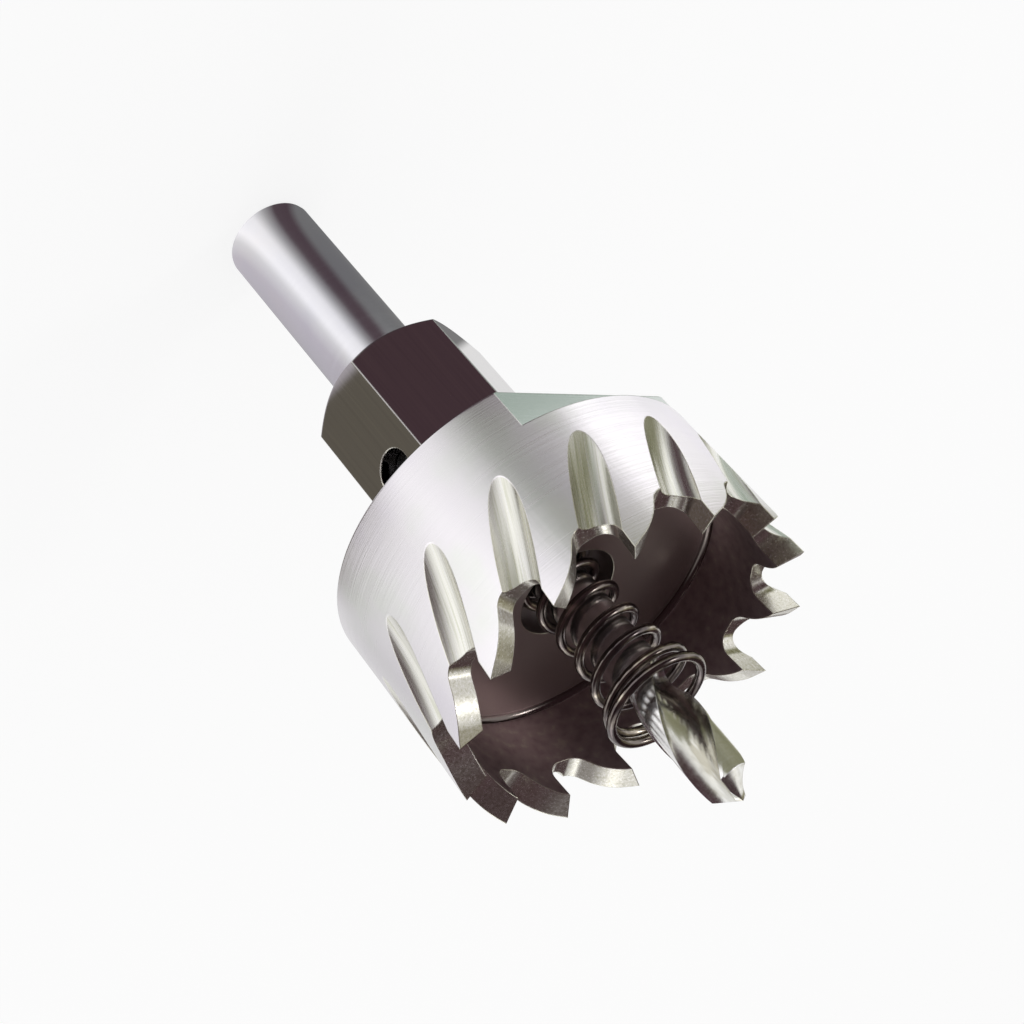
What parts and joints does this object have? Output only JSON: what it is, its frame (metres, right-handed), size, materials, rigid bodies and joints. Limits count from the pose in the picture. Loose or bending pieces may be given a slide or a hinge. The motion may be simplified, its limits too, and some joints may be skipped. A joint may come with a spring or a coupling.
{
  "type": "hole saw",
  "caption": "Solid steel cutter cup with slanted flutes and teeth, on a hexagon arbor with a round shank, with a pilot twist drill and an ejector spring in the cup",
  "frame": {"origin": "centre of the shank's end face", "axes": "+Z runs along the tool's axis from the end of the shank to the drill point; -Y is the middle of the hexagon face that the picture shows most squarely"},
  "size_m": [0.04, 0.04, 0.0885],
  "materials": {
    "ground_steel": "bright ground high-speed steel",
    "arbor_steel": "bright ground shank, plain hexagon",
    "drill_steel": "bright ground high-speed steel",
    "spring_steel": "dark drawn spring wire",
    "black_steel": "black oxide"
  },
  "bodies": {
    "root": {"cutter_cup": "ground_steel", "arbor": "arbor_steel", "pilot_drill": "drill_steel", "ejector_spring": "spring_steel", "set_screw": "black_steel"}
  },
  "joints": []
}
